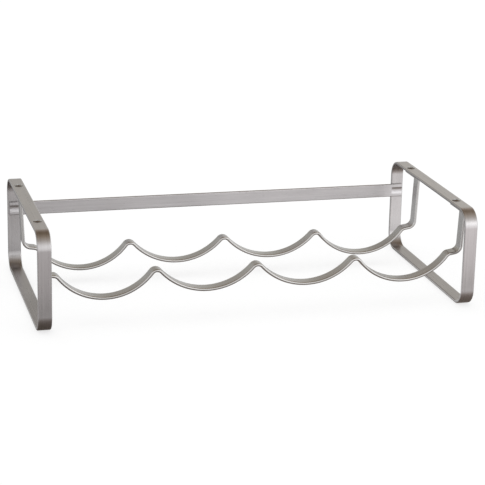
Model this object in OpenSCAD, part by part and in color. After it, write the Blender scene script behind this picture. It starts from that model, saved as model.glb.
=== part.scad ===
// Four-bottle tabletop wine rack.
// Every bar is flat steel strip, bent and then brushed.
// X runs along the row of bottles, Y from front to back and Z up.
// The origin is on the table, under the middle of the rack.

/* [Bottle bays] */
// Number of bottles side by side
bottle_bays = 4; // [2:1:6]
// Distance between neighbouring bottles
bottle_pitch = 100; // [86:1:130]
// Depth of an inner scallop, crest to trough, on the strip's centreline
scallop_depth = 22; // [16:0.2:27]
// Depth of the two end scallops, which hang a little lower
end_scallop_depth = 24.6; // [18:0.2:30]
// Radius of a crest on the strip's centreline
crest_r = 5.8; // [3.5:0.1:9]

/* [Wave bars] */
// Width of a wave bar's strip
wave_strip_w = 13; // [8:0.5:16]
// Thickness of a wave bar's strip
wave_strip_t = 3; // [2:0.1:4]
// Height of the front bar's crests, at the centreline
front_crest_z = 50.3; // [44:0.1:60]
// How much lower the rear bar's crests lie
rear_drop = 12; // [0:0.5:16]
// Radius of the bend between an end shoulder and its tail
tail_bend_r = 8; // [5:0.5:12]
// Straight run of an end shoulder
shoulder_run = 4.5; // [1:0.5:8]
// Rise of an end shoulder, in degrees
shoulder_rise = 9; // [0:1:14]
// Outward lean of a tail, in degrees
tail_lean = 2.5; // [0:0.5:5]
// How far outboard of the middle of a frame the tails end
tail_offcentre = 0.8; // [0:0.1:1.5]

/* [End frames] */
// Depth of a frame, front to back
frame_d = 222; // [190:1:280]
// Height of a frame
frame_h = 99; // [90:0.5:130]
// Width of a frame's strip
frame_strip_w = 13.5; // [11:0.5:18]
// Thickness of a frame's strip
frame_strip_t = 3; // [2.5:0.1:4]
// Outer radius of a frame's corner bends
frame_bend_r = 17.5; // [8:0.5:19.5]

/* [Rear rail] */
// Height of the rail's strip
rail_h = 14; // [10:0.5:20]
// Thickness of the rail's strip
rail_t = 3; // [2.5:0.1:4]
// Height of the rail's middle above the table
rail_z = 64.2; // [52:0.1:70]
// How far a rail end stops short of the frame's outer edge
rail_inset = 2; // [1:0.5:3]
// Height of the groove pressed into each end of the rail
groove_h = 7; // [5:0.5:8]
// Depth of that groove
groove_depth = 0.8; // [0.4:0.1:1.2]

/* [Fasteners] */
// Distance of a top screw from the nearest end of its frame
screw_edge = 44; // [42:0.5:60]
// How far the tails stand in front of their screws
tail_setback = 17.5; // [12:0.5:19]
// Thread diameter of all screws
screw_d = 5; // [4.5:0.1:5.5]
// Head diameter of a top screw
button_head_d = 9; // [7.5:0.5:11]
// Head height of a top screw
button_head_h = 1.2; // [1:0.1:2]
// Head diameter of a rail screw, which is countersunk
flat_head_d = 9; // [8:0.5:9.5]
// Width across flats of the hexagon sockets
socket_af = 3; // [2:0.5:3.5]
// Depth of the sockets
socket_depth = 1.5; // [0.8:0.1:1.8]
// Width of a tail's foot plate
foot_w = 8; // [8:0.5:11]
// Thickness of a foot plate
foot_t = 2.5; // [2:0.1:4]
// Margin of a foot plate past the middle of its screw
foot_margin = 6; // [4:0.5:9]
// Radial clearance of a screw in its plain hole
hole_clearance = 0.25; // [0.1:0.05:0.5]

/* [Hidden] */
steel = [0.66, 0.65, 0.63];
dark_steel = [0.52, 0.51, 0.5];
$fn = 96;

// Thickness of a cutter past the face that it opens
cut = 1;

// Largest turn between two neighbouring points of a bend, in degrees
bend_step = 4;

// The tails end on the foot plates, which hang under the top bars
foot_top_z = frame_h - frame_strip_t;
tail_top_z = foot_top_z - foot_t;
rear_crest_z = front_crest_z - rear_drop;

// Places from front to back
screw_y = frame_d / 2 - screw_edge;
front_bar_y = -screw_y - tail_setback;
rear_bar_y = screw_y - tail_setback;
rail_face_y = frame_d / 2 - frame_strip_t - rail_t;

// Places across the rack, where the frames stand over the ends of the tails
row_l = bottle_bays * bottle_pitch;
mean_reach = (tail_reach(front_crest_z) + tail_reach(rear_crest_z)) / 2;
frame_x = row_l / 2 + mean_reach - tail_offcentre;
rack_l = 2 * frame_x + frame_strip_w;

hole_r = screw_d / 2 + hole_clearance;

// Height that a tail covers between its bend and its foot plate
function tail_rise(crest_z) =
    tail_top_z - crest_z + crest_r - crest_r * cos(shoulder_rise)
    - shoulder_run * sin(shoulder_rise)
    - tail_bend_r * (cos(shoulder_rise) - sin(tail_lean));

// Distance from the last crest to the end of a tail
function tail_reach(crest_z) =
    -crest_r * sin(shoulder_rise) + shoulder_run * cos(shoulder_rise)
    + tail_bend_r * (cos(tail_lean) - sin(shoulder_rise))
    + tail_rise(crest_z) * tan(tail_lean);

// Slope at which the arc of scallop i, counted from the left, meets those of its crests
function flank_slope(i) =
    let (depth = i == 1 || i == bottle_bays ? end_scallop_depth : scallop_depth)
    2 * atan(2 * depth / bottle_pitch);

// Steps of a bent strip are [straight length, bend angle, bend radius]
function scallop(i) =
    [0, 2 * flank_slope(i), bottle_pitch / (2 * sin(flank_slope(i))) - crest_r];

// The crest that follows scallop i
function crest(i) = [0, -flank_slope(i) - flank_slope(i + 1), crest_r];

// A wave bar has a tail, a shoulder, its scallops and crests, a shoulder and a tail
function wave_steps(crest_z) =
    let (tail_l = tail_rise(crest_z) / cos(tail_lean) + cut)
    let (tail_turn = 90 - tail_lean - shoulder_rise)
    let (end_turn = shoulder_rise - flank_slope(1))
    concat(
        [[tail_l, tail_turn, tail_bend_r]],
        [[shoulder_run, end_turn, crest_r]],
        [for (i = [1 : bottle_bays - 1], step = [scallop(i), crest(i)]) step],
        [scallop(bottle_bays)],
        [[0, end_turn, crest_r]],
        [[shoulder_run, tail_turn, tail_bend_r]],
        [[tail_l, 0, 0]]
    );

// A place on a strip's centreline is [x, z, heading]. This one lies straight ahead.
function ahead(place, l) =
    [place[0] + l * cos(place[2]), place[1] + l * sin(place[2]), place[2]];

// Place on a bend of radius r, after a turn that is positive to the left
function around(place, r, turn) =
    let (side = sign(turn))
    let (heading = place[2] + turn)
    [
        place[0] + side * r * (sin(heading) - sin(place[2])),
        place[1] - side * r * (cos(heading) - cos(place[2])),
        heading
    ];

// Places along a strip, from one step to the next
function walk(steps, place, i = 0) =
    i == len(steps) ? [] :
    let (l = steps[i][0])
    let (turn = steps[i][1])
    let (start = ahead(place, l))
    let (count = ceil(abs(turn) / bend_step))
    let (bend = [for (k = [1 : 1 : count]) around(start, steps[i][2], turn * k / count)])
    let (last = count == 0 ? start : bend[count - 1])
    concat(l > 0 ? [start] : [], bend, walk(steps, last, i + 1));

// Outline of a strip of thickness t that starts at a place
module strip_outline(steps, place, t) {
    path = concat([place], walk(steps, place));
    upper = [for (p = path) [p[0] - t / 2 * sin(p[2]), p[1] + t / 2 * cos(p[2])]];
    lower = [for (p = path) [p[0] + t / 2 * sin(p[2]), p[1] - t / 2 * cos(p[2])]];
    polygon(concat(upper, [for (i = [len(lower) - 1 : -1 : 0]) lower[i]]));
}

// The leaning tails start a little too long, and are cut level under the foot plates
module wave_bar(y, crest_z) {
    start_x = -row_l / 2 - tail_reach(crest_z) - cut * sin(tail_lean);
    start_z = tail_top_z + cut * cos(tail_lean);
    translate([0, y + wave_strip_w / 2, 0])
        rotate([90, 0, 0])
            linear_extrude(wave_strip_w)
                difference() {
                    start = [start_x, start_z, tail_lean - 90];
                    strip_outline(wave_steps(crest_z), start, wave_strip_t);
                    translate([-rack_l / 2, tail_top_z]) square([rack_l, 2 * cut]);
                }
}

// Rounded rectangle centred on X, standing on the X axis
module rounded_outline(w, h, r) {
    translate([-w / 2 + r, 0]) square([w - 2 * r, h]);
    translate([-w / 2, r]) square([w, h - 2 * r]);
    for (x = [-w / 2 + r, w / 2 - r], y = [r, h - r])
        translate([x, y]) circle(r);
}

// A closed loop of strip with two holes in its top and a countersunk one behind the rail
module end_frame(side) {
    x = side * frame_x;
    t = frame_strip_t;
    difference() {
        translate([x - frame_strip_w / 2, 0, 0])
            rotate([90, 0, 90])
                linear_extrude(frame_strip_w)
                    difference() {
                        rounded_outline(frame_d, frame_h, frame_bend_r);
                        translate([0, t])
                            rounded_outline(frame_d - 2 * t, frame_h - 2 * t, frame_bend_r - t);
                    }
        for (y = [-screw_y, screw_y])
            translate([x, y, foot_top_z - cut]) cylinder(h = t + 2 * cut, r = hole_r);
        translate([x, frame_d / 2 + cut, rail_z])
            rotate([90, 0, 0]) cylinder(h = t + 2 * cut, r = hole_r);
        translate([x, frame_d / 2, rail_z]) rotate([-90, 0, 0]) flat_head();
    }
}

// Tapped plate on a tail's end, which its screw pulls up against the top bar
module foot_plate(side, tail_y) {
    front_y = tail_y - wave_strip_w / 2;
    back_y = tail_y + tail_setback + foot_margin;
    difference() {
        translate([side * frame_x - foot_w / 2, front_y, tail_top_z])
            cube([foot_w, back_y - front_y, foot_t]);
        translate([side * frame_x, tail_y + tail_setback, tail_top_z - cut])
            cylinder(h = foot_t + 2 * cut, d = screw_d);
    }
}

// Flat rail with a groove pressed into each end, and a tapped hole in the groove
module rail() {
    l = rack_l - 2 * rail_inset;
    groove_l = frame_strip_w - rail_inset;
    // The groove is a shallow arc that is groove_h wide at the face
    groove_r = (groove_h * groove_h / 4 + groove_depth * groove_depth) / (2 * groove_depth);
    difference() {
        translate([-l / 2, rail_face_y, rail_z - rail_h / 2])
            cube([l, rail_t, rail_h]);
        for (side = [-1, 1]) {
            x0 = side > 0 ? l / 2 - groove_l : -l / 2 - cut;
            translate([x0, rail_face_y + groove_depth - groove_r, rail_z])
                rotate([0, 90, 0]) cylinder(h = groove_l + cut, r = groove_r);
            translate([side * frame_x, rail_face_y + rail_t + cut, rail_z])
                rotate([90, 0, 0]) cylinder(h = rail_t + 2 * cut, d = screw_d);
        }
    }
}

// Hexagon socket that opens upwards at the origin
module socket() {
    translate([0, 0, -socket_depth])
        cylinder(h = socket_depth + cut, d = socket_af / cos(30), $fn = 6);
}

// Domed head that stands on the XY plane
module button_head() {
    head_r = button_head_d / 2;
    dome_r = (head_r * head_r + button_head_h * button_head_h) / (2 * button_head_h);
    intersection() {
        translate([0, 0, button_head_h - dome_r]) sphere(dome_r);
        cylinder(h = button_head_h + cut, r = head_r + cut);
    }
}

// Countersunk head with a 90 degree cone, below the XY plane
module flat_head() {
    h = (flat_head_d - screw_d) / 2;
    translate([0, 0, -h]) cylinder(h = h, d1 = screw_d, d2 = flat_head_d);
}

module top_screw(side, y) {
    l = frame_strip_t + foot_t;
    translate([side * frame_x, y, frame_h])
        difference() {
            union() {
                button_head();
                translate([0, 0, -l]) cylinder(h = l, d = screw_d);
            }
            translate([0, 0, button_head_h]) socket();
        }
}

// The screw's end is level with the bottom of the rail's groove
module rail_screw(side) {
    l = frame_strip_t + rail_t - groove_depth;
    translate([side * frame_x, frame_d / 2, rail_z])
        rotate([-90, 0, 0])
            difference() {
                union() {
                    flat_head();
                    translate([0, 0, -l]) cylinder(h = l, d = screw_d);
                }
                socket();
            }
}

module left_end_frame() { color(steel) end_frame(-1); }
module right_end_frame() { color(steel) end_frame(1); }
module front_wave_bar() { color(steel) wave_bar(front_bar_y, front_crest_z); }
module rear_wave_bar() { color(steel) wave_bar(rear_bar_y, rear_crest_z); }
module rear_rail() { color(steel) rail(); }
module left_front_foot_plate() { color(dark_steel) foot_plate(-1, front_bar_y); }
module right_front_foot_plate() { color(dark_steel) foot_plate(1, front_bar_y); }
module left_rear_foot_plate() { color(dark_steel) foot_plate(-1, rear_bar_y); }
module right_rear_foot_plate() { color(dark_steel) foot_plate(1, rear_bar_y); }
module left_front_top_screw() { color(dark_steel) top_screw(-1, -screw_y); }
module right_front_top_screw() { color(dark_steel) top_screw(1, -screw_y); }
module left_rear_top_screw() { color(dark_steel) top_screw(-1, screw_y); }
module right_rear_top_screw() { color(dark_steel) top_screw(1, screw_y); }
module left_rail_screw() { color(dark_steel) rail_screw(-1); }
module right_rail_screw() { color(dark_steel) rail_screw(1); }

left_end_frame();
right_end_frame();
front_wave_bar();
rear_wave_bar();
rear_rail();
left_front_foot_plate();
right_front_foot_plate();
left_rear_foot_plate();
right_rear_foot_plate();
left_front_top_screw();
right_front_top_screw();
left_rear_top_screw();
right_rear_top_screw();
left_rail_screw();
right_rail_screw();
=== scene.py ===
"""Looks of a four-bottle tabletop wine rack, made of bent and brushed flat steel strip.

Every piece of the rack is made again here, with rounded edges, a brushed grain that follows the bends,
pressed grooves, sockets, chamfers and weld beads. Metres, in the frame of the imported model.
"""

import math

import bmesh
import bpy
from mathutils import Matrix, Quaternion, Vector


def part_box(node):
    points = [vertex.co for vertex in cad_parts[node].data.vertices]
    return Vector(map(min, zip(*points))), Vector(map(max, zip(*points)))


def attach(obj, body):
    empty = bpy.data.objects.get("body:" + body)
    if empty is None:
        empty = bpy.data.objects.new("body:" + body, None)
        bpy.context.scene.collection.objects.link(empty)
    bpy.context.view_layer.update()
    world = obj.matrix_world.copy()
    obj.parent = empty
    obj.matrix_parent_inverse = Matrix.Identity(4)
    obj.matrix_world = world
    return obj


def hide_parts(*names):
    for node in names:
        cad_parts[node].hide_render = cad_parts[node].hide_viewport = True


MM = 0.001

# Strips: thickness, and radius of the long edges
STRIP_T = 3.0 * MM
FRAME_EDGE_R = 1.2 * MM
WAVE_EDGE_R = 1.35 * MM
RAIL_EDGE_R = 0.8 * MM
EDGE_STEPS = 6

# Values of the edge attribute, which tells the materials where a surface lies
ROUNDED_EDGE = 1.0
BROAD_FACE = 0.2
NARROW_SIDE = -1.0

# End frames
FRAME_BEND_R = 17.5 * MM
FRAME_BEND_STEPS = 30

# Wave bars: inner scallops, the deeper end ones, crests, shoulders and tails
BOTTLE_BAYS = 4
BOTTLE_PITCH = 100 * MM
SCALLOP_DEPTH = 22 * MM
END_SCALLOP_DEPTH = 24.6 * MM
CREST_R = 5.8 * MM
TAIL_BEND_R = 8 * MM
SHOULDER_RUN = 4.5 * MM
SHOULDER_RISE = math.radians(9)
TAIL_LEAN = math.radians(2.5)
BEND_STEP = math.radians(2)

# Rear rail: the groove pressed into each end, and how far it takes to fade out
GROOVE_H = 7 * MM
GROOVE_DEPTH = 0.8 * MM
GROOVE_FADE = 1.6 * MM
GROOVE_R = (GROOVE_H ** 2 / 4 + GROOVE_DEPTH ** 2) / (2 * GROOVE_DEPTH)
GROOVE_STEPS = 8
RAIL_FACE_STEPS = 28
RAIL_HOLE_DEPTH = 1.9 * MM

# Screws, their holes and the eased edges of small pieces
SCREW_D = 5 * MM
HOLE_R = 2.75 * MM
BUTTON_HEAD_D = 9 * MM
FLAT_HEAD_D = 9 * MM
HEAD_STEPS = 14
# Gap of a countersunk head in its sink
SINK_GAP = 0.15 * MM
CHAMFER = 0.4 * MM
# Width of the painted shade round the foot of a button head, where it meets the strip
HEAD_FOOT_SHADE_W = 0.75 * MM
SOCKET_AF = 3 * MM
SOCKET_R = SOCKET_AF / 2 / math.cos(math.radians(30))
SOCKET_DEPTH = 1.5 * MM
# The conical mouth of a socket: radius at its top and at its foot, and depth
MOUTH_R = 2.45 * MM
MOUTH_FOOT_R = 1.9 * MM
MOUTH_DEPTH = 1 * MM

# Weld beads round the tops of the tails, with ripples along them
WELD_R = 1.1 * MM
WELD_RIPPLE = 1.3 * MM
RIPPLE_SHARE = 0.12
BEAD_STEPS = 16
BEAD_EDGE = 0.5

# Length of a cutter that goes right through a strip, and facets of what is round
CUT_L = 3 * STRIP_T
ROUND_SEGMENTS = 72
# Corners sharper than this stay sharp, and broad faces outweigh their rounded edges
SHARP_ANGLE = math.radians(40)
FACE_WEIGHT = 80

# Heights between which the painted shade on the lowest parts fades out, and how dark it makes them
LOW_SHADE_BELOW = 5 * MM
LOW_SHADE_ABOVE = 16 * MM
LOW_SHADE_LEVEL = 0.82

# How far the roughness varies, how much smoother worn edges are, and depth of the brushed grain
ROUGHNESS_SPREAD = 0.04
WORN_GLOSS = 0.05
FINE_GRAIN = 0.0006 * MM
COARSE_GRAIN = 0.001 * MM

# Camera, in front of the rack on the left and above it, turned to the right and down
CAMERA_AT = Vector((-0.4326, -1.6558, 0.5573))
CAMERA_YAW = math.radians(14.89)
CAMERA_PITCH = math.radians(16.61)
CAMERA_ROLL = math.radians(1.22)
CAMERA_LENS = 130
CAMERA_SENSOR = 36
CAMERA_REACH = 50

# Floor: its size, its gap under the rack and how much of its white is its own glow
FLOOR_SIZE = 40
FLOOR_GAP = 0.2 * MM
FLOOR_GLOW = 0.72

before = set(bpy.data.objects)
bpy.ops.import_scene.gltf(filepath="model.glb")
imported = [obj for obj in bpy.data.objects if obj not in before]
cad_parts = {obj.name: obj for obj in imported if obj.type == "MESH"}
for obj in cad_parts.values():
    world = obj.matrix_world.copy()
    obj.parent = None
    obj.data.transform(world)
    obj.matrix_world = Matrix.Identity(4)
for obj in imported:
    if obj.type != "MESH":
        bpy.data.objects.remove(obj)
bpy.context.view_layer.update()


# ---------------------------------------------------------------- meshes

def mesh_object(name, bm):
    mesh = bpy.data.meshes.new(name)
    bm.to_mesh(mesh)
    bm.free()
    piece = bpy.data.objects.new(name, mesh)
    bpy.context.scene.collection.objects.link(piece)
    return piece


def grain_layers(bm):
    """The map that the brushing follows, in metres along and across it, and the edge attribute."""
    return bm.loops.layers.uv.new("grain"), bm.verts.layers.float.new("edge")


def strip_section(width, radius):
    """Closed outline of a strip's section: (across, through, perimeter so far, edge)."""
    half_w, half_t = width / 2 - radius, STRIP_T / 2 - radius
    points = []
    for across, through, start in (
        (half_w, half_t, 0), (-half_w, half_t, 90), (-half_w, -half_t, 180), (half_w, -half_t, 270)
    ):
        for k in range(EDGE_STEPS + 1):
            turn = math.radians(start + 90 * k / EDGE_STEPS)
            edge = ROUNDED_EDGE
            if k in (0, EDGE_STEPS):
                edge = NARROW_SIDE if abs(math.cos(turn)) > 0.5 else BROAD_FACE
            points.append((across + radius * math.cos(turn), through + radius * math.sin(turn), edge))
    section, length = [], 0.0
    for i, (across, through, edge) in enumerate(points):
        if i:
            length += math.dist((across, through), points[i - 1][:2])
        section.append((across, through, length, edge))
    return section


def add_sweep(bm, layers, stations, section, closed=False):
    """Sweeps a closed section along stations (centre, across, through, distance)."""
    grain, edge_layer = layers
    rings = []
    for centre, across, through, _ in stations:
        ring = []
        for a, t, _, edge in section:
            vertex = bm.verts.new(centre + across * a + through * t)
            vertex[edge_layer] = edge
            ring.append(vertex)
        rings.append(ring)
    distances = [station[3] for station in stations]
    around = [point[2] for point in section]
    around.append(around[-1] + math.dist(section[-1][:2], section[0][:2]))
    if closed:
        distances.append(distances[-1] + (stations[0][0] - stations[-1][0]).length)
        rings.append(rings[0])
    count = len(section)
    for i in range(len(rings) - 1):
        for k in range(count):
            m = (k + 1) % count
            face = bm.faces.new((rings[i][k], rings[i][m], rings[i + 1][m], rings[i + 1][k]))
            for loop, (u, v) in zip(face.loops, ((i, k), (i, k + 1), (i + 1, k + 1), (i + 1, k))):
                loop[grain].uv = (distances[u], around[v])
    if not closed:
        for ring in (rings[0], rings[-1]):
            for loop in bm.faces.new(ring).loops:
                loop[grain].uv = (loop.vert.co.x, loop.vert.co.y)
    bmesh.ops.recalc_face_normals(bm, faces=bm.faces)


def sweep(name, stations, section, closed=False):
    bm = bmesh.new()
    add_sweep(bm, grain_layers(bm), stations, section, closed)
    return mesh_object(name, bm)


def turned(name, profile):
    """Turns (radius, height) points about Z. Points at radius 0 close the ends."""
    bm = bmesh.new()
    grain, _ = grain_layers(bm)
    rings = []
    for radius, height in profile:
        count = ROUND_SEGMENTS if radius else 1
        angles = [2 * math.pi * k / count for k in range(count)]
        rings.append([bm.verts.new((radius * math.cos(a), radius * math.sin(a), height)) for a in angles])
    for a, b in zip(rings, rings[1:]):
        for k in range(ROUND_SEGMENTS):
            corners = []
            for vertex in (a[k % len(a)], b[k % len(b)], b[(k + 1) % len(b)], a[(k + 1) % len(a)]):
                if vertex not in corners:
                    corners.append(vertex)
            for loop in bm.faces.new(corners).loops:
                place = loop.vert.co
                loop[grain].uv = (math.atan2(place.y, place.x) * 2 * MM, place.xy.length + place.z)
    bmesh.ops.recalc_face_normals(bm, faces=bm.faces)
    return mesh_object(name, bm)


def turn_to(piece, place, axis):
    """Moves a mesh made about Z to a place, with its Z along the axis."""
    turn = Vector(axis).to_track_quat("Z", "Y").to_matrix().to_4x4()
    piece.data.transform(Matrix.Translation(place) @ turn)


def cutter(radius, end_radius, depth, place, axis, segments=ROUND_SEGMENTS):
    """A round or many-sided cutter with its middle at a place."""
    bm = bmesh.new()
    bmesh.ops.create_cone(
        bm, cap_ends=True, segments=segments, radius1=radius, radius2=end_radius, depth=depth
    )
    piece = mesh_object("cutter", bm)
    turn_to(piece, place, axis)
    return piece


def cut(piece, tool):
    """Cuts a closed mesh out of a piece for good."""
    modifier = piece.modifiers.new("cut", "BOOLEAN")
    modifier.operation = "DIFFERENCE"
    modifier.solver = "EXACT"
    modifier.object = tool
    graph = bpy.context.evaluated_depsgraph_get()
    mesh = bpy.data.meshes.new_from_object(piece.evaluated_get(graph))
    piece.modifiers.clear()
    piece.data = mesh
    bpy.data.objects.remove(tool)


def shade(piece):
    """Smooth faces, sharp corners, and normals that keep the flat faces flat."""
    bm = bmesh.new()
    bm.from_mesh(piece.data)
    for face in bm.faces:
        face.smooth = True
    for edge in bm.edges:
        edge.smooth = len(edge.link_faces) < 2 or edge.calc_face_angle(0) < SHARP_ANGLE
    bm.to_mesh(piece.data)
    bm.free()
    modifier = piece.modifiers.new("even_shading", "WEIGHTED_NORMAL")
    modifier.keep_sharp = True
    modifier.weight = FACE_WEIGHT


# ---------------------------------------------------------------- paths

def frame_stations(centre_x, depth, height):
    """Stations along the centreline of a closed rounded loop, from the middle of its bottom bar."""
    radius = FRAME_BEND_R - STRIP_T / 2
    half_y = depth / 2 - FRAME_BEND_R
    low, high = FRAME_BEND_R, height - FRAME_BEND_R
    places = [(0.0, STRIP_T / 2, -math.pi / 2)]
    for y, z, start in ((half_y, low, -90), (half_y, high, 0), (-half_y, high, 90), (-half_y, low, 180)):
        for k in range(FRAME_BEND_STEPS + 1):
            turn = math.radians(start + 90 * k / FRAME_BEND_STEPS)
            places.append((y + radius * math.cos(turn), z + radius * math.sin(turn), turn))
    stations, distance = [], 0.0
    for y, z, turn in places:
        here = Vector((centre_x, y, z))
        if stations:
            distance += (here - stations[-1][0]).length
        through = Vector((0, math.cos(turn), math.sin(turn)))
        stations.append((here, Vector((1, 0, 0)), through, distance))
    return stations


def wave_steps(tail_l):
    """Steps of a bent strip, each a straight length, a turn and a bend radius."""
    depths = [END_SCALLOP_DEPTH] + [SCALLOP_DEPTH] * (BOTTLE_BAYS - 2) + [END_SCALLOP_DEPTH]
    # Scallops and crests are arcs that meet tangentially at these slopes
    slopes = [2 * math.atan(2 * depth / BOTTLE_PITCH) for depth in depths]
    tail_turn = math.pi / 2 - TAIL_LEAN - SHOULDER_RISE
    steps = [(tail_l, tail_turn, TAIL_BEND_R), (SHOULDER_RUN, SHOULDER_RISE - slopes[0], CREST_R)]
    for i, slope in enumerate(slopes):
        if i:
            steps.append((0, -slopes[i - 1] - slope, CREST_R))
        steps.append((0, 2 * slope, BOTTLE_PITCH / (2 * math.sin(slope)) - CREST_R))
    steps.append((0, SHOULDER_RISE - slopes[-1], CREST_R))
    steps.append((SHOULDER_RUN, tail_turn, TAIL_BEND_R))
    steps.append((tail_l, 0, 0))
    return steps


def wave_stations(centre_y, top_z, bottom_z):
    """Stations along a wave bar's centreline, from the top of its left tail. Its box gives its height."""
    crest_z = bottom_z + STRIP_T / 2 + END_SCALLOP_DEPTH
    rise = top_z - crest_z + CREST_R * (1 - math.cos(SHOULDER_RISE))
    rise -= SHOULDER_RUN * math.sin(SHOULDER_RISE)
    rise -= TAIL_BEND_R * (math.cos(SHOULDER_RISE) - math.sin(TAIL_LEAN))
    reach = -CREST_R * math.sin(SHOULDER_RISE) + SHOULDER_RUN * math.cos(SHOULDER_RISE)
    reach += TAIL_BEND_R * (math.cos(TAIL_LEAN) - math.sin(SHOULDER_RISE)) + rise * math.tan(TAIL_LEAN)
    place = Vector((-BOTTLE_BAYS * BOTTLE_PITCH / 2 - reach, centre_y, top_z))
    heading, distance, stations = TAIL_LEAN - math.pi / 2, 0.0, []

    def add():
        through = Vector((-math.sin(heading), 0, math.cos(heading)))
        stations.append((place.copy(), Vector((0, 1, 0)), through, distance))

    add()
    for length, turn, radius in wave_steps(rise / math.cos(TAIL_LEAN)):
        if length > 0:
            place = place + Vector((math.cos(heading), 0, math.sin(heading))) * length
            distance += length
            add()
        count = math.ceil(abs(turn) / BEND_STEP - 1e-6)
        for _ in range(count):
            step = turn / count
            side = math.copysign(radius, turn)
            x = side * (math.sin(heading + step) - math.sin(heading))
            z = side * (math.cos(heading) - math.cos(heading + step))
            place = place + Vector((x, 0, z))
            heading += step
            distance += abs(step) * radius
            add()
    return stations


# ---------------------------------------------------------------- materials

class Nodes:
    """Short calls for the node tree of a material or a world."""

    def __init__(self, owner):
        owner.use_nodes = True
        self.tree = owner.node_tree
        self.tree.nodes.clear()

    def add(self, kind, **values):
        node = self.tree.nodes.new(kind)
        for key, value in values.items():
            setattr(node, key, value)
        return node

    def put(self, value, socket):
        """A socket takes a link, a number or a colour."""
        if isinstance(value, bpy.types.NodeSocket):
            self.tree.links.new(value, socket)
        elif isinstance(value, tuple):
            socket.default_value = (*value, 1)
        else:
            socket.default_value = value

    def noise(self, place, along, across, detail, offset=0.0):
        """Noise on the grain's map, with so many features per metre along and across the grain."""
        mapping = self.add("ShaderNodeMapping")
        self.put(place, mapping.inputs["Vector"])
        mapping.inputs["Scale"].default_value = (along, across, 1)
        mapping.inputs["Location"].default_value = (offset, offset, 0)
        node = self.add("ShaderNodeTexNoise")
        self.put(mapping.outputs["Vector"], node.inputs["Vector"])
        node.inputs["Scale"].default_value = 1.0
        node.inputs["Detail"].default_value = detail
        return node.outputs["Fac"]

    def spread(self, value, low, high, to_low, to_high):
        node = self.add("ShaderNodeMapRange")
        for socket, number in zip(node.inputs, (value, low, high, to_low, to_high)):
            self.put(number, socket)
        return node.outputs["Result"]

    def math(self, operation, a, b):
        node = self.add("ShaderNodeMath", operation=operation)
        self.put(a, node.inputs[0])
        self.put(b, node.inputs[1])
        return node.outputs["Value"]

    def blend(self, *shares):
        """Adds up (value, share) pairs."""
        total = 0.0
        for value, share in shares:
            total = self.math("ADD", self.math("MULTIPLY", value, share), total)
        return total

    def mix(self, factor, a, b, blend_type="MIX"):
        node = self.add("ShaderNodeMixRGB", blend_type=blend_type)
        for name, value in (("Fac", factor), ("Color1", a), ("Color2", b)):
            self.put(value, node.inputs[name])
        return node.outputs["Color"]

    def ramp(self, value, stops):
        node = self.add("ShaderNodeValToRGB")
        self.put(value, node.inputs["Fac"])
        elements = node.color_ramp.elements
        while len(elements) < len(stops):
            elements.new(0.5)
        for element, (at, colour) in zip(elements, stops):
            element.position = at
            element.color = (*colour, 1)
        return node.outputs["Color"]

    def finish(self, shader, kind="ShaderNodeOutputMaterial"):
        output = self.add(kind)
        self.put(shader, output.inputs["Surface"])


def brushed_steel(name, dark, light, worn, side_level, roughness, grain_depth):
    """Steel brushed along the strip: long streaks, cloudy patches, fine grain and worn edges.

    Dark and light are the ends of its tones, worn is the colour of its rounded edges, and side_level
    is the tone of its narrow sides, as a share of the rest."""
    material = bpy.data.materials.new(name)
    n = Nodes(material)
    place = n.add("ShaderNodeUVMap", uv_map="grain").outputs["UV"]
    streaks = n.noise(place, 9, 620, 3.0)
    patches = n.noise(place, 22, 60, 2.0, 3.1)
    grain = n.noise(place, 120, 2600, 2.0, 7.7)
    tone = n.blend((streaks, 0.5), (patches, 0.3), (grain, 0.2))
    colour = n.mix(n.spread(tone, 0.35, 0.65, 0.0, 1.0), dark, light)
    edge = n.add("ShaderNodeAttribute", attribute_name="edge").outputs["Fac"]
    uneven = n.spread(patches, 0.3, 0.7, 0.5, 1.0)
    wear = n.math("MULTIPLY", n.spread(edge, 0.0, ROUNDED_EDGE, 0.0, 1.0), uneven)
    colour = n.mix(wear, colour, worn)
    # The narrow sides are painted darker as shade where side_level is below 1, and lighter as a highlight
    # where it is above 1
    side_paint = n.spread(edge, NARROW_SIDE, 0.0, side_level, 1.0)
    colour = n.mix(1.0, colour, side_paint, "MULTIPLY")
    # The lowest parts are painted a little darker, as shade near the floor
    height = n.add("ShaderNodeSeparateXYZ")
    n.put(n.add("ShaderNodeTexCoord").outputs["Object"], height.inputs["Vector"])
    low_shade = n.spread(height.outputs["Z"], LOW_SHADE_BELOW, LOW_SHADE_ABOVE, LOW_SHADE_LEVEL, 1.0)
    colour = n.mix(1.0, colour, low_shade, "MULTIPLY")
    low, high = roughness - ROUGHNESS_SPREAD, roughness + ROUGHNESS_SPREAD
    rough = n.spread(n.blend((grain, 0.5), (streaks, 0.5)), 0.35, 0.65, low, high)
    rough = n.math("SUBTRACT", rough, n.math("MULTIPLY", wear, WORN_GLOSS))
    bump = n.add("ShaderNodeBump")
    n.put(1.0, bump.inputs["Strength"])
    n.put(grain_depth, bump.inputs["Distance"])
    n.put(grain, bump.inputs["Height"])
    shader = n.add("ShaderNodeBsdfPrincipled")
    n.put(1.0, shader.inputs["Metallic"])
    n.put(colour, shader.inputs["Base Color"])
    n.put(rough, shader.inputs["Roughness"])
    n.put(bump.outputs["Normal"], shader.inputs["Normal"])
    n.finish(shader.outputs["BSDF"])
    return material


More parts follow.
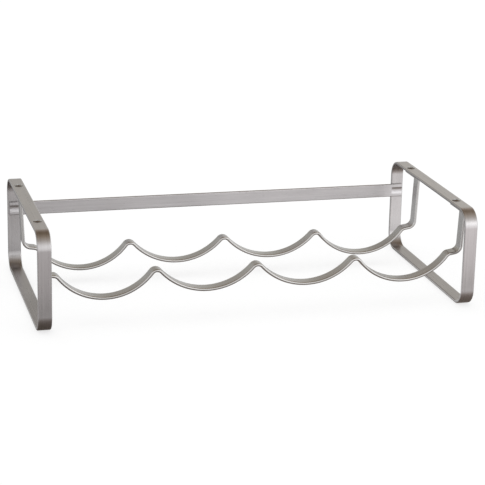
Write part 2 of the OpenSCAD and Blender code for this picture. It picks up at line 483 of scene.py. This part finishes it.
def make_materials():
    """A finish for each slot of the record."""
    return {
        "end_frame_steel": brushed_steel(
            "brushed_end_frame",
            dark=(0.52, 0.505, 0.51), light=(0.66, 0.643, 0.648), worn=(0.54, 0.525, 0.53),
            side_level=0.4, roughness=0.31, grain_depth=FINE_GRAIN,
        ),
        "wave_bar_steel": brushed_steel(
            "brushed_wave_bar",
            dark=(0.44, 0.435, 0.43), light=(0.565, 0.56, 0.555), worn=(0.70, 0.695, 0.69),
            side_level=1.1, roughness=0.29, grain_depth=FINE_GRAIN,
        ),
        "rail_steel": brushed_steel(
            "brushed_rail",
            dark=(0.54, 0.529, 0.539), light=(0.66, 0.647, 0.659), worn=(0.60, 0.588, 0.60),
            side_level=0.6, roughness=0.31, grain_depth=FINE_GRAIN,
        ),
        "foot_plate_steel": brushed_steel(
            "rolled_plate",
            dark=(0.38, 0.37, 0.36), light=(0.50, 0.49, 0.48), worn=(0.62, 0.61, 0.60),
            side_level=1.0, roughness=0.41, grain_depth=COARSE_GRAIN,
        ),
        "screw_steel": brushed_steel(
            "turned_screw",
            dark=(0.48, 0.49, 0.50), light=(0.60, 0.61, 0.62), worn=(0.76, 0.76, 0.76),
            side_level=0.3, roughness=0.17, grain_depth=FINE_GRAIN,
        ),
    }


# ---------------------------------------------------------------- pieces

def dress(piece, node, slot, materials):
    """A detailed piece stands for its CAD node, rides on the rack and takes its slot's finish."""
    shade(piece)
    piece.data.materials.clear()
    piece.data.materials.append(materials[slot])
    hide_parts(node)
    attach(piece, "root")


def centre_and_size(node):
    low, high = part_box(node)
    return (low + high) / 2, high - low


def build_end_frame(side, materials):
    """A closed loop of strip with two holes in its top and a countersunk one behind the rail."""
    node = side + "_end_frame"
    centre, size = centre_and_size(node)
    section = strip_section(size.x, FRAME_EDGE_R)
    piece = sweep(node + "_strip", frame_stations(centre.x, size.y, size.z), section, closed=True)
    for end in ("front", "rear"):
        screw, _ = centre_and_size(f"{side}_{end}_top_screw")
        place = Vector((screw.x, screw.y, size.z - STRIP_T / 2))
        cut(piece, cutter(HOLE_R, HOLE_R, CUT_L, place, (0, 0, 1)))
    screw, _ = centre_and_size(side + "_rail_screw")
    place = Vector((screw.x, (size.y - STRIP_T) / 2, screw.z))
    cut(piece, cutter(HOLE_R, HOLE_R, CUT_L, place, (0, 1, 0)))
    # The sink's cone is as deep as the head and goes on past the face by as much again
    depth = FLAT_HEAD_D - SCREW_D
    radius = SCREW_D / 2 + SINK_GAP
    place = Vector((screw.x, size.y / 2, screw.z))
    cut(piece, cutter(radius, radius + depth, depth, place, (0, 1, 0)))
    dress(piece, node, "end_frame_steel", materials)


def build_wave_bar(end, materials):
    """A strip bent into the scallops, with an upright tail at each end."""
    node = end + "_wave_bar"
    low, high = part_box(node)
    stations = wave_stations((low.y + high.y) / 2, high.z, low.z)
    piece = sweep(node + "_strip", stations, strip_section(high.y - low.y, WAVE_EDGE_R))
    dress(piece, node, "wave_bar_steel", materials)


def groove_depth_at(height):
    """Depth of the pressed groove, at a height from the rail's middle."""
    return max(math.sqrt(max(GROOVE_R ** 2 - height ** 2, 0)) - (GROOVE_R - GROOVE_DEPTH), 0)


def groove_fade_at(x, half_l, groove_l):
    """1 in the groove, and 0 past its rounded inner end."""
    share = min(max((abs(x) - (half_l - groove_l)) / GROOVE_FADE + 0.5, 0), 1)
    return share * share * (3 - 2 * share)


def rail_section(height):
    """A rail's section, with extra points down its front face where the grooves are pressed."""
    section = strip_section(height, RAIL_EDGE_R)
    corner = EDGE_STEPS + 1
    upper, lower = section[corner - 1], section[corner]
    face = []
    for k in range(1, RAIL_FACE_STEPS):
        across = upper[0] + (lower[0] - upper[0]) * k / RAIL_FACE_STEPS
        face.append((across, upper[1], upper[2] + upper[0] - across, 0.0))
    return section[:corner] + face + section[corner:]


def build_rail(materials):
    """A flat rail whose two pressed grooves fade out at the frames' inner edges."""
    centre, size = centre_and_size("rear_rail")
    half_l = size.x / 2
    groove_l = half_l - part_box("right_end_frame")[0].x
    # Stations are dense only along the grooves and where they fade out
    xs = [half_l - groove_l * k / GROOVE_STEPS for k in range(GROOVE_STEPS)]
    xs += [half_l - groove_l + GROOVE_FADE * (0.5 - k / GROOVE_STEPS) for k in range(GROOVE_STEPS + 1)]
    xs = sorted([-x for x in xs] + xs)
    stations = [
        (Vector((x, centre.y, centre.z)), Vector((0, 0, 1)), Vector((0, -1, 0)), x) for x in xs
    ]
    piece = sweep("rear_rail_strip", stations, rail_section(size.z))
    for vertex in piece.data.vertices:
        place = vertex.co - centre
        if place.y < 0:
            vertex.co.y += groove_depth_at(place.z) * groove_fade_at(place.x, half_l, groove_l)
    for side in ("left", "right"):
        screw, _ = centre_and_size(side + "_rail_screw")
        place = Vector((screw.x, centre.y + size.y / 2, screw.z))
        cut(piece, cutter(SCREW_D / 2, SCREW_D / 2, 2 * RAIL_HOLE_DEPTH, place, (0, 1, 0)))
    dress(piece, "rear_rail", "rail_steel", materials)


def cut_socket(piece, top):
    """A hexagon socket with a conical mouth, in a screw that still stands on Z."""
    cut(piece, cutter(SOCKET_R, SOCKET_R, 2 * SOCKET_DEPTH, Vector((0, 0, top)), (0, 0, 1), segments=6))
    middle = Vector((0, 0, top - MOUTH_DEPTH / 2))
    cut(piece, cutter(MOUTH_FOOT_R, MOUTH_R, MOUTH_DEPTH, middle, (0, 0, 1)))


def build_top_screw(side, end, materials):
    """A low button head on a shank with a chamfered tip."""
    node = f"{side}_{end}_top_screw"
    low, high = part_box(node)
    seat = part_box(side + "_end_frame")[1].z
    tip, rim = low.z - seat, high.z - seat
    head_r, shank_r = BUTTON_HEAD_D / 2, SCREW_D / 2
    # The dome runs from the edge of the head to the rim of its socket
    dome_r = math.hypot(head_r, (head_r ** 2 - SOCKET_R ** 2 - rim ** 2) / (2 * rim))
    below = math.sqrt(dome_r ** 2 - head_r ** 2)
    profile = [(0, tip), (shank_r - CHAMFER, tip), (shank_r, tip + CHAMFER), (shank_r, 0)]
    profile.append((head_r - CHAMFER / 2, 0))
    for k in range(1, HEAD_STEPS + 1):
        radius = head_r + (SOCKET_R - head_r) * k / HEAD_STEPS
        profile.append((radius, math.sqrt(dome_r ** 2 - radius ** 2) - below))
    profile.append((0, profile[-1][1]))
    piece = turned(node + "_turned", profile)
    # The foot of the head is painted darker, as shade where it meets the strip, with the tone that the
    # narrow sides take
    edge = piece.data.attributes["edge"].data
    for vertex in piece.data.vertices:
        if vertex.co.z >= 0 and vertex.co.xy.length > head_r - HEAD_FOOT_SHADE_W:
            edge[vertex.index].value = NARROW_SIDE
    cut_socket(piece, profile[-1][1])
    place = (low + high) / 2
    turn_to(piece, Vector((place.x, place.y, seat)), (0, 0, 1))
    dress(piece, node, "screw_steel", materials)


def build_rail_screw(side, materials):
    """A countersunk screw. The rail's face is ground and brushed over its end."""
    node = side + "_rail_screw"
    centre, size = centre_and_size(node)
    head_r, shank_r, tip = FLAT_HEAD_D / 2, SCREW_D / 2, -STRIP_T - RAIL_HOLE_DEPTH
    profile = [(0, tip), (shank_r - CHAMFER, tip), (shank_r, tip + CHAMFER), (shank_r, shank_r - head_r)]
    profile += [(head_r - SINK_GAP, -SINK_GAP), (head_r - SINK_GAP, 0), (0, 0)]
    piece = turned(node + "_turned", profile)
    cut_socket(piece, 0)
    turn_to(piece, Vector((centre.x, centre.y + size.y / 2, centre.z)), (0, 1, 0))
    dress(piece, node, "screw_steel", materials)


def weld_stations(tail, corner, half_y, half_x, height):
    """A path down one side of a tail's top, round its back and up the other side."""
    places = [(-half_x, -half_y), (-half_x, half_y), (half_x, half_y), (half_x, -half_y)]
    stations, distance, step = [], 0.0, WELD_RIPPLE / 4
    for (x0, y0), (x1, y1) in zip(places, places[1:]):
        along = Vector((x1 - x0, y1 - y0, 0))
        count = round((along.length - 2 * corner) / step)
        for k in range(count + 1):
            share = (corner + (along.length - 2 * corner) * k / count) / along.length
            place = Vector((tail.x + x0, tail.y + y0, height)) + along * share
            ripple = 1 + RIPPLE_SHARE * math.sin(2 * math.pi * (distance + k * step) / WELD_RIPPLE)
            across = along.normalized().cross(Vector((0, 0, 1)))
            stations.append((place, across * ripple, Vector((0, 0, ripple)), distance + k * step))
        distance += count * step
    return stations


def plate_blank(name, low, high):
    """A plate with eased edges."""
    bm = bmesh.new()
    bmesh.ops.create_cube(bm, size=1)
    bmesh.ops.scale(bm, vec=high - low, verts=bm.verts)
    bmesh.ops.translate(bm, vec=(low + high) / 2, verts=bm.verts)
    bmesh.ops.bevel(bm, geom=bm.edges, offset=CHAMFER, segments=3, profile=0.5, affect="EDGES")
    grain, _ = grain_layers(bm)
    for face in bm.faces:
        for loop in face.loops:
            loop[grain].uv = (loop.vert.co.y, loop.vert.co.x + loop.vert.co.z)
    return mesh_object(name, bm)


def add_weld(piece, stations):
    """Adds a weld bead to a piece's mesh."""
    turns = [2 * math.pi * k / BEAD_STEPS for k in range(BEAD_STEPS)]
    bead = [(WELD_R * math.cos(turn), WELD_R * math.sin(turn), WELD_R * turn, BEAD_EDGE) for turn in turns]
    bm = bmesh.new()
    bm.from_mesh(piece.data)
    layers = (bm.loops.layers.uv["grain"], bm.verts.layers.float["edge"])
    add_sweep(bm, layers, stations, bead)
    bm.to_mesh(piece.data)
    bm.free()


def build_foot_plate(side, end, materials):
    """A plate with a tapped hole, welded round the top of its tail."""
    node = f"{side}_{end}_foot_plate"
    low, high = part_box(node)
    piece = plate_blank(node + "_plate", low, high)
    screw, _ = centre_and_size(f"{side}_{end}_top_screw")
    place = Vector((screw.x, screw.y, (low.z + high.z) / 2))
    cut(piece, cutter(SCREW_D / 2, SCREW_D / 2, CUT_L, place, (0, 0, 1)))
    bar_low, bar_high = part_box(end + "_wave_bar")
    outer = bar_low.x if side == "left" else bar_high.x
    tail = Vector((outer - math.copysign(STRIP_T / 2, outer), (bar_low.y + bar_high.y) / 2, 0))
    half_y = (bar_high.y - bar_low.y) / 2
    add_weld(piece, weld_stations(tail, WELD_R / 2, half_y, STRIP_T / 2, low.z))
    dress(piece, node, "foot_plate_steel", materials)


# ---------------------------------------------------------------- stage

def floor_material():
    """White to the camera, and it keeps the rack's shadow.

    In the metal it shows a painted reflection: pale at a shallow angle, brown when seen from above,
    brighter to the right and with painted shade strips along the rack."""
    material = bpy.data.materials.new("studio_white")
    n = Nodes(material)
    path = n.add("ShaderNodeLightPath")
    mirrored = n.math("MAXIMUM", path.outputs["Is Glossy Ray"], path.outputs["Is Transmission Ray"])
    seen = n.math("MAXIMUM", path.outputs["Is Camera Ray"], mirrored)
    slant = n.add("ShaderNodeLayerWeight").outputs["Facing"]
    painted_reflection = n.ramp(slant, (
        (0.0, (0.18, 0.15, 0.125)),
        (0.25, (0.22, 0.185, 0.165)),
        (0.42, (0.33, 0.285, 0.26)),
        (0.70, (0.80, 0.79, 0.785)),
        (0.88, (1.0, 1.0, 1.0)),
    ))
    place = n.add("ShaderNodeNewGeometry").outputs["Position"]
    parts = n.add("ShaderNodeSeparateXYZ")
    n.put(place, parts.inputs["Vector"])
    # Painted light: in the metal the floor is brighter to the right
    side_light = n.spread(parts.outputs["X"], -0.2, 0.3, 0.89, 1.45)
    painted_reflection = n.mix(1.0, painted_reflection, side_light, "MULTIPLY")
    # A soft shade lies along the front of the rack, and another one behind it
    row = n.ramp(n.spread(parts.outputs["Y"], -0.4, 0.1, 0.0, 1.0), (
        (0.0, (0.835, 0.81, 0.81)),
        (0.20, (0.80, 0.765, 0.765)),
        (0.46, (0.49, 0.48, 0.47)),
        (0.52, (0.82, 0.82, 0.82)),
        (0.60, (0.87, 0.87, 0.87)),
        (0.66, (1.0, 1.0, 1.0)),
        (0.86, (1.0, 1.0, 1.0)),
        (0.96, (0.52, 0.52, 0.52)),
    ))
    painted_reflection = n.mix(1.0, painted_reflection, row, "MULTIPLY")
    white = n.mix(mirrored, (1.0, 1.0, 1.0), painted_reflection)
    glow = n.add("ShaderNodeEmission")
    n.put(white, glow.inputs["Color"])
    n.put(FLOOR_GLOW, glow.inputs["Strength"])
    faint = n.add("ShaderNodeBsdfDiffuse")
    n.put(n.mix(1.0, white, (0.3, 0.3, 0.3), "MULTIPLY"), faint.inputs["Color"])
    both = n.add("ShaderNodeAddShader")
    n.put(glow.outputs["Emission"], both.inputs[0])
    n.put(faint.outputs["BSDF"], both.inputs[1])
    paper = n.add("ShaderNodeBsdfDiffuse")
    n.put((0.85, 0.85, 0.85), paper.inputs["Color"])
    choice = n.add("ShaderNodeMixShader")
    n.put(seen, choice.inputs["Fac"])
    n.put(paper.outputs["BSDF"], choice.inputs[1])
    n.put(both.outputs["Shader"], choice.inputs[2])
    n.finish(choice.outputs["Shader"])
    return material


def build_floor():
    bm = bmesh.new()
    bmesh.ops.create_grid(bm, x_segments=1, y_segments=1, size=FLOOR_SIZE / 2)
    floor = mesh_object("studio_floor", bm)
    floor.location.z = -FLOOR_GAP
    floor.data.materials.append(floor_material())


def build_world():
    """A pale room with a bright front, a dark warm ceiling and a little more light on the right."""
    world = bpy.data.worlds.new("studio")
    bpy.context.scene.world = world
    n = Nodes(world)
    direction = n.add("ShaderNodeSeparateXYZ")
    n.put(n.add("ShaderNodeTexCoord").outputs["Generated"], direction.inputs["Vector"])
    # Both ramps run from the horizon up to the ceiling
    front = n.ramp(direction.outputs["Z"], (
        (0.0, (1.0, 1.0, 1.0)),
        (0.35, (0.98, 0.98, 0.98)),
        (0.59, (0.73, 0.71, 0.69)),
        (0.81, (0.43, 0.39, 0.35)),
        (1.0, (0.34, 0.27, 0.20)),
    ))
    rear = n.ramp(direction.outputs["Z"], (
        (0.0, (0.66, 0.655, 0.65)),
        (0.25, (0.555, 0.552, 0.515)),
        (0.59, (0.41, 0.355, 0.305)),
        (0.84, (0.17, 0.12, 0.08)),
        (1.0, (0.14, 0.10, 0.06)),
    ))
    colour = n.mix(n.spread(direction.outputs["Y"], -0.3, 0.3, 0.0, 1.0), front, rear)
    side_light = n.spread(direction.outputs["X"], 0.10, 0.40, 1.0, 1.27)
    background = n.add("ShaderNodeBackground")
    colour = n.mix(1.0, colour, side_light, "MULTIPLY")
    # A matt surface gets plain even light, at which its colour shows as it is
    matt = n.add("ShaderNodeLightPath").outputs["Is Diffuse Ray"]
    n.put(n.mix(matt, colour, (1.0, 1.0, 1.0)), background.inputs["Color"])
    n.finish(background.outputs["Background"], "ShaderNodeOutputWorld")


def area_lamp(name, place, aim, size, power):
    data = bpy.data.lights.new(name, "AREA")
    data.shape = "RECTANGLE"
    data.size, data.size_y = size
    data.energy = power
    lamp = bpy.data.objects.new(name, data)
    bpy.context.scene.collection.objects.link(lamp)
    lamp.location = place
    lamp.rotation_euler = (Vector(aim) - Vector(place)).to_track_quat("-Z", "Y").to_euler()


def build_lights():
    area_lamp("right_softbox", place=(1.5, -3.0, 1.1), aim=(0, 0, 0.05), size=(1.6, 1.2), power=4)


def build_camera():
    data = bpy.data.cameras.new("camera")
    data.lens = CAMERA_LENS
    data.sensor_width = CAMERA_SENSOR
    data.clip_end = CAMERA_REACH
    camera = bpy.data.objects.new("camera", data)
    bpy.context.scene.collection.objects.link(camera)
    forward = Vector((
        math.sin(CAMERA_YAW) * math.cos(CAMERA_PITCH),
        math.cos(CAMERA_YAW) * math.cos(CAMERA_PITCH),
        -math.sin(CAMERA_PITCH),
    ))
    camera.location = CAMERA_AT
    camera.rotation_mode = "QUATERNION"
    camera.rotation_quaternion = forward.to_track_quat("-Z", "Y") @ Quaternion((0, 0, 1), CAMERA_ROLL)
    bpy.context.scene.camera = camera


def build_rack():
    materials = make_materials()
    for side in ("left", "right"):
        build_end_frame(side, materials)
        build_rail_screw(side, materials)
        for end in ("front", "rear"):
            build_top_screw(side, end, materials)
            build_foot_plate(side, end, materials)
    for end in ("front", "rear"):
        build_wave_bar(end, materials)
    build_rail(materials)


build_rack()
build_floor()
build_world()
build_lights()
build_camera()
bpy.context.scene.view_settings.view_transform = "Standard"
